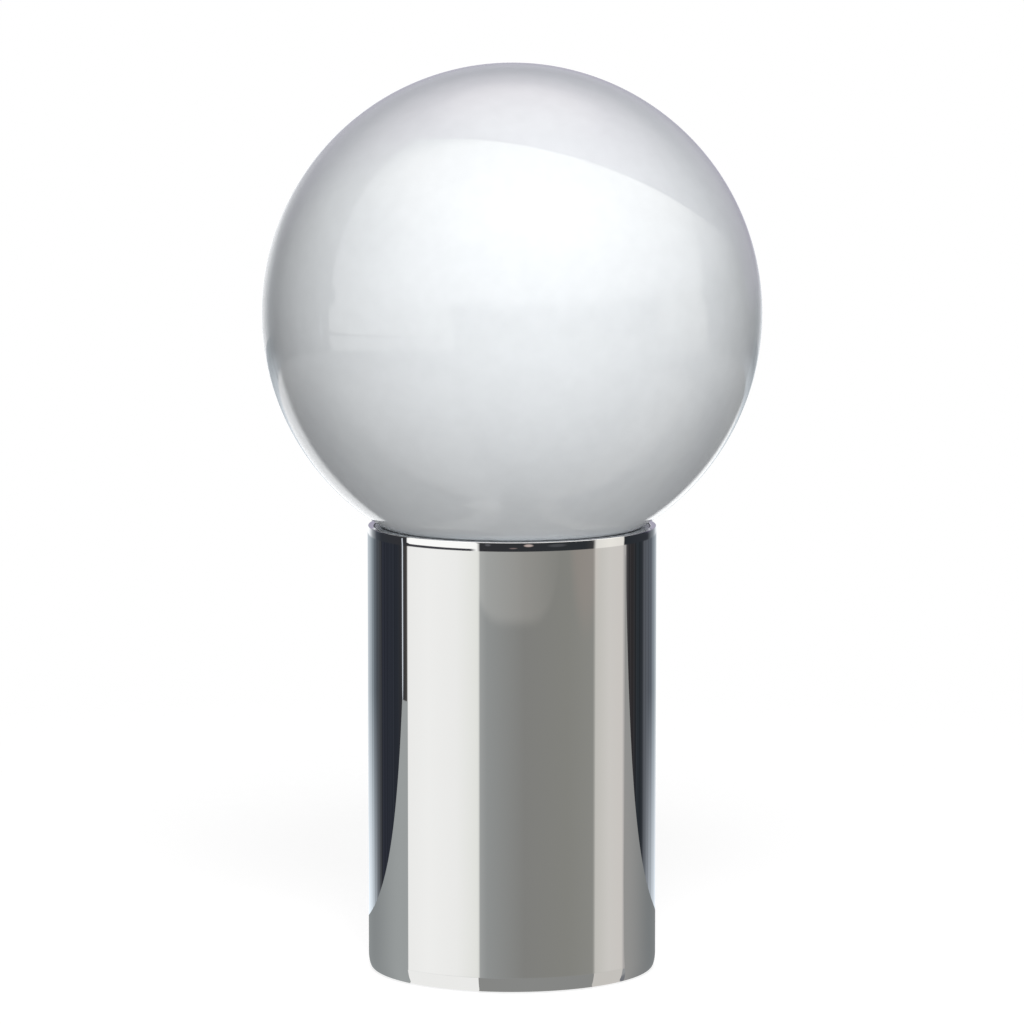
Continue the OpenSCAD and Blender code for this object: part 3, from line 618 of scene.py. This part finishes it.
def finish_mesh(bm, name, merge=1e-7, sharp=CRISP):
    """Merges doubles, points the faces outwards and makes a smooth-shaded object."""
    bmesh.ops.remove_doubles(bm, verts=bm.verts, dist=merge)
    bmesh.ops.recalc_face_normals(bm, faces=bm.faces)
    made = into_scene(bm, name)
    made.data.shade_smooth()
    made.data.set_sharp_from_angle(angle=math.radians(sharp))
    print(name, len(made.data.polygons), "faces")
    return made


def stands_for(piece, node, paint):
    """Puts a finished piece in the place of a construction node."""
    piece.data.materials.clear()
    piece.data.materials.append(paint)
    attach(piece, nodes[node]["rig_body"])
    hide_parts(node)


print("mesh helpers ready")

# %% [markdown]
# The pen holds the last point that it drew. Each stroke returns the pen itself, so strokes
# can be written one after another, as they would be on paper.

# %% The pen
class Pen:
    """Draws an outline (radius, height) in millimetres, then turns it."""

    def __init__(self, radius, z):
        self.bm = bmesh.new()
        self.tip = self.start = self.bm.verts.new((radius * MM, 0, z * MM))

    def to(self, radius, z, steps=1):
        """A straight line, in a number of equal steps."""
        start, end = self.tip.co.copy(), Vector((radius * MM, 0, z * MM))
        for step in range(steps):
            grown = bmesh.ops.extrude_vert_indiv(self.bm, verts=[self.tip])["verts"][0]
            grown.co = start.lerp(end, (step + 1) / steps)
            self.tip = grown
        return self

    def arc(self, radius, z, degrees, steps, squeeze=1.0):
        """An arc about (radius, z), clockwise on the page where degrees is plus."""
        centre = Vector((radius * MM, 0, z * MM))
        before = set(self.bm.verts)
        last = bmesh.ops.spin(self.bm, geom=[self.tip], cent=centre, axis=(0, 1, 0),
                              angle=math.radians(degrees), steps=steps)["geom_last"]
        self.tip = next(g for g in last if isinstance(g, bmesh.types.BMVert))
        if squeeze != 1.0:
            fresh = [v for v in self.bm.verts if v not in before]
            bmesh.ops.scale(self.bm, verts=fresh, vec=(squeeze, 1, 1),
                            space=Matrix.Translation(-centre))
        return self

    def close(self):
        """Joins the tip to the start."""
        self.bm.edges.new((self.tip, self.start))
        return self

    def turn(self, name, steps):
        """Spins the outline about the upright axis into a closed mesh object."""
        bm = self.bm
        bmesh.ops.spin(bm, geom=bm.verts[:] + bm.edges[:], cent=(0, 0, 0), axis=(0, 0, 1),
                       angle=math.tau, steps=steps, use_merge=True)
        return finish_mesh(bm, name)


print("pen ready")

# %% [markdown]
# ## Finishes
#
# A real finish is never one flat colour. Polished metal carries faint haze and hairlines,
# cast iron is grainy, moulded plastic has a slight orange peel, and pressed steel shows the
# rolling of its sheet. One recipe covers them: noise on the object's own coordinates moves
# the colour, the roughness and a small bump by amounts chosen for each finish.

# %% One recipe for all finishes
def noise(tree, place, scale, detail):
    """A noise texture's value."""
    made = add_node(tree, "ShaderNodeTexNoise", place)
    made.inputs["Scale"].default_value = scale
    made.inputs["Detail"].default_value = detail
    return made.outputs[0]


def finish(name, colour, rough, metallic=0.0, drift=0.08, grain=400.0, bump=0.0,
           stretch=(1, 1, 1), haze=0.04, cloud=35.0, **sockets):
    """A finish: colour drifts by clouds, and roughness and bump by a finer grain."""
    paint, tree = new_material(name)
    spot = add_node(tree, "ShaderNodeTexCoord").outputs["Object"]
    laid = add_node(tree, "ShaderNodeMapping", spot)
    laid.inputs["Scale"].default_value = stretch
    fine = noise(tree, laid.outputs[0], grain, 4.0)
    shade = add_node(tree, "ShaderNodeBsdfPrincipled")
    dark = rgb(*(c * (1 - drift) for c in colour))
    light = rgb(*(min(1.0, c * (1 + drift)) for c in colour))
    put(tree, shade.inputs["Base Color"], blend(tree, noise(tree, spot, cloud, 2.0), dark, light))
    put(tree, shade.inputs["Roughness"],
        rise(tree, fine, .35, .65, max(0.0, rough - haze), rough + haze))
    shade.inputs["Metallic"].default_value = metallic
    for key, value in sockets.items():
        shade.inputs[key].default_value = value
    if bump:
        relief = add_node(tree, "ShaderNodeBump")
        relief.inputs["Strength"].default_value = 1.0
        relief.inputs["Distance"].default_value = bump * MM
        put(tree, relief.inputs["Height"], fine)
        put(tree, shade.inputs["Normal"], relief.outputs[0])
    add_node(tree, "ShaderNodeOutputMaterial", shade.outputs[0])
    return paint


print("finish recipe ready")

# %% [markdown]
# ## The tube
#
# The real tube is drawn metal, polished until it is a mirror, with the end buffed over
# into a soft lip and the heel rolled in at the foot. A mirror shows every facet, so the
# outline is spun in many steps, with extra rows beside each change of slope: they keep
# the smooth shading of a narrow band from leaking into the tall wall.

# %% The tube's outline
TUBE_IN, TUBE_TOP, TUBE_FOOT = 55.5, 180.0, 0.6
HEEL_IN, HEEL_H, HEEL_FLAT, LIP_ROUND = 1.5, 5.5, 0.3, 0.7
ROLL_Z, ROLL_R, ROLL_TILT = 175.9, 146.0, 0.55      # where the polish starts to roll over
BAND_R, BAND_TILT, EDGE_R = 26.2, 5.77, 0.28        # the band that leans in, and its edge
WALL_ROWS = (6.6, 8, 28, 48, 100, 150, 174, 175.4, ROLL_Z)
BORE_ROWS = (178.8, 177, 150, 100, 48, 28, 1.2)


def lean(pen, radius, start, end, steps):
    """Carries on from the tip along an arc whose slope turns from start to end degrees."""
    tip = pen.tip.co / MM
    turned = math.radians(start)
    pen.arc(tip.x - radius * math.cos(turned), tip.z - radius * math.sin(turned),
            start - end, steps)


pen = Pen(TUBE_IN, TUBE_FOOT).to(TUBE_R - HEEL_IN - HEEL_FLAT, TUBE_FOOT)
pen.to(TUBE_R - HEEL_IN, TUBE_FOOT)
pen.arc(TUBE_R - HEEL_IN, TUBE_FOOT + HEEL_H, -90, 24, squeeze=HEEL_IN / HEEL_H)
for z in WALL_ROWS:
    pen.to(TUBE_R, z)
lean(pen, ROLL_R, 0, ROLL_TILT, 8)
lean(pen, BAND_R, ROLL_TILT, BAND_TILT, 16)
lean(pen, EDGE_R, BAND_TILT, 90, 10)
pen.to(TUBE_IN + LIP_ROUND, TUBE_TOP).arc(TUBE_IN + LIP_ROUND, TUBE_TOP - LIP_ROUND, -90, 10)
for z in BORE_ROWS:
    pen.to(TUBE_IN, z)
tube = pen.close().turn("tube", 256)

# %% [markdown]
# The cord inlet is a round hole at the back, near the foot, where its grommet sits. A
# Boolean with a plain cylinder cuts it, as a drill would, and is applied at once so that no
# live modifier is left on the tube.

# %% The cord inlet's hole
INLET_Z, INLET_R, DRILL_LENGTH = 38.0, 6.05, 12

bm = bmesh.new()
bmesh.ops.create_cone(bm, cap_ends=True, segments=48, radius1=INLET_R * MM,
                      radius2=INLET_R * MM, depth=DRILL_LENGTH * MM)
to_the_back = (Matrix.Translation(Vector((0, TUBE_R, INLET_Z)) * MM)
               @ Matrix.Rotation(math.radians(90), 4, "X"))
bmesh.ops.transform(bm, matrix=to_the_back, verts=bm.verts)
drill = into_scene(bm, "drill")
cut = tube.modifiers.new("hole", "BOOLEAN")
cut.operation, cut.object, cut.solver = "DIFFERENCE", drill, "EXACT"
bpy.context.view_layer.update()
whole = tube.data
drilled = tube.evaluated_get(bpy.context.evaluated_depsgraph_get())
tube.data = bpy.data.meshes.new_from_object(drilled)
tube.modifiers.clear()
bpy.data.objects.remove(drill)
bpy.data.meshes.remove(whole)
tube.data.set_sharp_from_angle(angle=math.radians(CRISP))
print("drilled the tube:", len(tube.data.polygons), "faces")

# %% [markdown]
# Outside, the tube is a near-perfect mirror: high reflectance, almost no roughness, and a
# trace of drift. Inside, nobody polishes it. The drawing die leaves fine upright lines
# there, which a noise stretched along the tube gives.

# %% The tube's polish
polish = finish("mirror_polish", (.70, .70, .70), .012, metallic=1.0, drift=.006, grain=900,
                haze=.004)
satin = finish("satin_inside", (.74, .74, .73), .40, metallic=1.0, drift=.03, grain=500,
               haze=.08, stretch=(1, 1, .05))
stands_for(tube, "base_tube", polish)
tube.data.materials.append(satin)
inner = (TUBE_IN + LIP_ROUND / 2) * MM
lowest, highest = 2 * MM, (TUBE_TOP - .3) * MM
for face in tube.data.polygons:
    middle = face.center
    if math.hypot(middle.x, middle.y) < inner and lowest < middle.z < highest:
        face.material_index = 1
print("satin faces:", sum(face.material_index for face in tube.data.polygons))

# %% [markdown]
# ## The ball
#
# The ball is one closed shell of blown glass: outside, neck, rounded rim and inside. It is
# turned from a single outline, with enough steps to keep reflections smooth.

# %% The ball's outline
BALL_R, BALL_WALL, BALL_Z = 100.0, 3.5, 264.97
NECK_R, NECK_FOOT, NECK_FILLET = 42.0, 165.22, 0.4
RIM, NECK_IN, INSIDE = BALL_WALL / 2, NECK_R - BALL_WALL, BALL_R - BALL_WALL


def below(radius, ring):
    """The angle from the top of a sphere down to where it is a ring across."""
    return 180 - math.degrees(math.asin(ring / radius))


def drop(radius, ring):
    """How far below a sphere's middle it is a ring across."""
    return math.sqrt(radius ** 2 - ring ** 2)


pen = Pen(0, BALL_Z + BALL_R).arc(0, BALL_Z, below(BALL_R, NECK_R + NECK_FILLET), 150)
pen.to(NECK_R, BALL_Z - drop(BALL_R, NECK_R) - NECK_FILLET).to(NECK_R, NECK_FOOT + RIM, 3)
pen.arc(NECK_R - RIM, NECK_FOOT + RIM, 180, 12)
pen.to(NECK_IN, BALL_Z - drop(INSIDE, NECK_IN), 4)
pen.arc(0, BALL_Z, -below(INSIDE, NECK_IN), 60)
ball = pen.turn("opal_ball", 256)

# %% [markdown]
# Opal glass of this kind is blown in layers: a white core cased in clear glass. Light is
# scattered in the white, and the clear skin on top is as glossy as a window. A diffuse
# white under a sharp dielectric gloss gives both, without the cost of light that really
# scatters inside. The white is faintly cloudy.

# %% The opal glass
opal = finish("opal_glass", (.866, .898, .922), .02, drift=.034, grain=60, haze=.004,
              cloud=150, IOR=1.5)
stands_for(ball, "globe", opal)
print("ball dressed in", opal.name)

# %% [markdown]
# ## The cup under the ball
#
# The ball hangs over a pressed steel cup. Pressing leaves every bend rounded and every edge
# slightly domed, so the outline goes round each corner by a small arc.

# %% The pressed cup
FLANGE, CUP_IN, CUP_OUT, RIM_TOP = 171.8, 43.2, 44.8, 175.8
RIM_IN, RIM_OUT, CUP_FLOOR, SHEET, ROD_HOLE = 53.6, 55.2, 135.8, 1.6, 5.1
FOOT_BEND, MOUTH_BEND, RIM_BEND, RIM_DOME = 3, 1.5, 1.2, .8     # radii on the upper side
FOOT_TURN, RIM_TURN, BEVEL = 3.2, 1.8, .4                       # and on the lower side
UNDER_FLANGE, UNDER_FLOOR = FLANGE - SHEET, CUP_FLOOR - SHEET
pen = Pen(ROD_HOLE, CUP_FLOOR).to(CUP_IN - FOOT_BEND, CUP_FLOOR, 3)
pen.arc(CUP_IN - FOOT_BEND, CUP_FLOOR + FOOT_BEND, -90, 10)
pen.to(CUP_IN, FLANGE - MOUTH_BEND, 4).arc(CUP_IN + MOUTH_BEND, FLANGE - MOUTH_BEND, 90, 8)
pen.to(RIM_IN - RIM_BEND, FLANGE).arc(RIM_IN - RIM_BEND, FLANGE + RIM_BEND, -90, 8)
pen.to(RIM_IN, RIM_TOP - RIM_DOME).arc(RIM_IN + RIM_DOME, RIM_TOP - RIM_DOME, 180, 10)
pen.to(RIM_OUT, UNDER_FLANGE + RIM_TURN)
pen.arc(RIM_OUT - RIM_TURN, UNDER_FLANGE + RIM_TURN, 90, 8)
pen.to(CUP_OUT + BEVEL, UNDER_FLANGE).to(CUP_OUT, UNDER_FLANGE - BEVEL)
pen.to(CUP_OUT, UNDER_FLOOR + FOOT_TURN, 4)
pen.arc(CUP_OUT - FOOT_TURN, UNDER_FLOOR + FOOT_TURN, 90, 10)
pen.to(ROD_HOLE, UNDER_FLOOR, 3)
cup = pen.close().turn("carrier_cup", 160)
pressed = finish("pressed_sheet", (.56, .56, .55), .30, metallic=1, drift=.05, grain=260,
                 bump=.004, haze=.07)
stands_for(cup, "globe_carrier", pressed)

# %% [markdown]
# A soft ring lies in the cup and takes the weight of the glass. It is a round bead, moulded
# with a collar that fills the gap between glass and tube, so that no dust falls in and the
# ball sits without a rattle.

# %% The soft ring
BEAD_R, BEAD_Z, BEAD = 50.4, 174.8, 3.0
COLLAR_IN, COLLAR_OUT, COLLAR_TOP, COLLAR_FOOT = 52.5, 55.3, 179.6, 176.0
THROAT_IN, THROAT_DOWN = .15, .7        # the collar widens a little towards its top
INNER_ROUND, OUTER_ROUND = .3, .35
MEETS = 66                    # where the bead runs into the collar: degrees up from its outside
leaves = math.degrees(math.asin((COLLAR_FOOT - BEAD_Z) / BEAD))
pen = Pen(BEAD_R + BEAD * math.cos(math.radians(leaves)), COLLAR_FOOT)
pen.arc(BEAD_R, BEAD_Z, leaves + 360 - MEETS, 40)
pen.to(COLLAR_IN - THROAT_IN, COLLAR_TOP - THROAT_DOWN).to(COLLAR_IN, COLLAR_TOP - INNER_ROUND)
pen.arc(COLLAR_IN + INNER_ROUND, COLLAR_TOP - INNER_ROUND, 90, 5)
pen.to(COLLAR_OUT - OUTER_ROUND, COLLAR_TOP)
pen.arc(COLLAR_OUT - OUTER_ROUND, COLLAR_TOP - OUTER_ROUND, 90, 5).to(COLLAR_OUT, COLLAR_FOOT)
soft_ring = pen.close().turn("soft_ring", 160)
silicone = finish("moulded_silicone", (.76, .79, .83), .30, drift=.02, grain=300, bump=.003)
stands_for(soft_ring, "seat_ring", silicone)

# %% [markdown]
# ## The lampholder's sleeve
#
# The sleeve is moulded with a rounded mouth, so that a bulb finds its way in, and is cut
# back by half a millimetre where fingers grip it.

# %% The sleeve
SLEEVE_R, SLEEVE_IN, SLEEVE_FOOT, SLEEVE_TOP = 20.0, 17.1, 160.8, 194.8
MOUTH_R, MOUTH_LIP, SKIN = 15.45, 3.0, 0.5
TOP_ROUND, MOUTH_ROUND, FOOT_BEVEL = 1.6, .6, .3
GRIP_ROWS = ((0, 162.8), (SKIN, 163.5), (SKIN, 178.0), (0, 178.5), (0, 179.5))
pen = Pen(SLEEVE_IN, SLEEVE_FOOT).to(SLEEVE_R - FOOT_BEVEL, SLEEVE_FOOT)
pen.to(SLEEVE_R, SLEEVE_FOOT + FOOT_BEVEL)
for cut_back, z in GRIP_ROWS:
    pen.to(SLEEVE_R - cut_back, z)
pen.to(SLEEVE_R, SLEEVE_TOP - TOP_ROUND, 2)
pen.arc(SLEEVE_R - TOP_ROUND, SLEEVE_TOP - TOP_ROUND, -90, 10)
pen.to(MOUTH_R + MOUTH_ROUND, SLEEVE_TOP)
pen.arc(MOUTH_R + MOUTH_ROUND, SLEEVE_TOP - MOUTH_ROUND, -90, 6)
pen.to(MOUTH_R, SLEEVE_TOP - MOUTH_LIP).to(SLEEVE_IN, SLEEVE_TOP - MOUTH_LIP)
sleeve = pen.close().turn("grip_sleeve", 144)

# %% [markdown]
# Fine ribs stand in that recess, so that the sleeve can be turned with dry fingers. Each is a
# small bar sunk into the wall, and the bars go round it by a turn each.

# %% The grip's ribs
RIBS, RIB_R, RIB_LENGTH, RIB_MIDDLE, RIB_SUNK = 36, .62, 13.6, 170.75, .14
bm = bmesh.new()
bm.from_mesh(sleeve.data)
for turn in range(RIBS):
    rib = bmesh.ops.create_cone(bm, cap_ends=True, segments=12, radius1=RIB_R * MM,
                                radius2=RIB_R * MM, depth=RIB_LENGTH * MM)["verts"]
    bmesh.ops.translate(bm, verts=rib,
                        vec=((SLEEVE_R - SKIN - RIB_SUNK) * MM, 0, RIB_MIDDLE * MM))
    bmesh.ops.rotate(bm, verts=rib, cent=(0, 0, 0),
                     matrix=Matrix.Rotation(math.tau * turn / RIBS, 3, "Z"))
bm.to_mesh(sleeve.data)
bm.free()
sleeve.data.shade_smooth()
sleeve.data.set_sharp_from_angle(angle=math.radians(CRISP))
moulded = finish("moulded_plastic", (.76, .75, .72), .30, drift=.02, grain=900, bump=.003)
stands_for(sleeve, "holder_sleeve", moulded)
print("ribs:", RIBS)

# %% [markdown]
# ## Everything else
#
# The remaining parts keep the construction's shape, and each record slot has its finish:
# plated, cast and turned metals, rubbers, plastics, the coloured sheaths of the leads, and
# the parts of the bulb.

# %% A finish for every slot
PAINTS = {
    "zinc_steel": finish("zinc_plate", (.60, .61, .60), .32, metallic=1, drift=.10, grain=500,
                         bump=.01),
    "pressed_steel": pressed,
    "cast_iron": finish("cast_iron", (.055, .055, .058), .62, metallic=.3, drift=.25,
                        grain=900, bump=.12, haze=.12),
    "foot_rubber": finish("foam_rubber", (.03, .03, .032), .85, drift=.2, grain=1600, bump=.08),
    "silicone": silicone,
    "holder_plastic": moulded,
    "steatite": finish("steatite", (.74, .70, .62), .5, drift=.05, grain=900, bump=.02),
    "brass": finish("brass", (.80, .60, .28), .24, metallic=1, drift=.08, grain=500, bump=.005),
    "grommet_rubber": finish("grommet_rubber", (.025, .025, .027), .55, drift=.2, grain=900,
                             bump=.02),
    "nylon": finish("nylon", (.72, .70, .64), .4, drift=.04, grain=500, bump=.01),
    "tinned_copper": finish("tinned_copper", (.72, .68, .62), .28, metallic=1, drift=.1,
                            grain=900),
    "bulb_diffuser": finish("bulb_diffuser", (.82, .82, .80), .35, drift=.02, grain=300),
    "bulb_body": finish("bulb_body", (.78, .78, .77), .42, drift=.02, grain=500, bump=.01),
    "bulb_cap": finish("bulb_cap", (.62, .62, .60), .26, metallic=1, drift=.08, grain=500,
                       bump=.005),
    "black_glass": finish("black_glass", (.02, .02, .022), .12, drift=.2, grain=300),
    "board": finish("board", (.75, .76, .74), .4, drift=.04, grain=500),
    "phosphor": finish("phosphor", (.85, .62, .12), .5, drift=.08, grain=900),
}
SHEATHS = {"lead_brown": (.16, .065, .03), "lead_blue": (.03, .10, .42),
           "lead_green_yellow": (.16, .36, .05)}
for slot, colour in SHEATHS.items():
    PAINTS[slot] = finish(slot, colour, .38, drift=.1, grain=600)
print("finishes:", len(PAINTS))

# %% [markdown]
# The construction's meshes are loose triangles, so a copy of each is merged, its curved faces
# are shaded smooth and its edges kept crisp, and then it takes the finish of its slot.

# %% Dress the nodes
slot_of = {part["node"]: part["material_slot"] for part in frame["record"]["subparts"]}
for name in sorted(nodes):
    if not nodes[name].hide_render:
        bm = bmesh.new()
        bm.from_mesh(nodes[name].data)
        piece = finish_mesh(bm, name + "_piece", merge=1e-6, sharp=32)
        stands_for(piece, name, PAINTS[slot_of[name]])
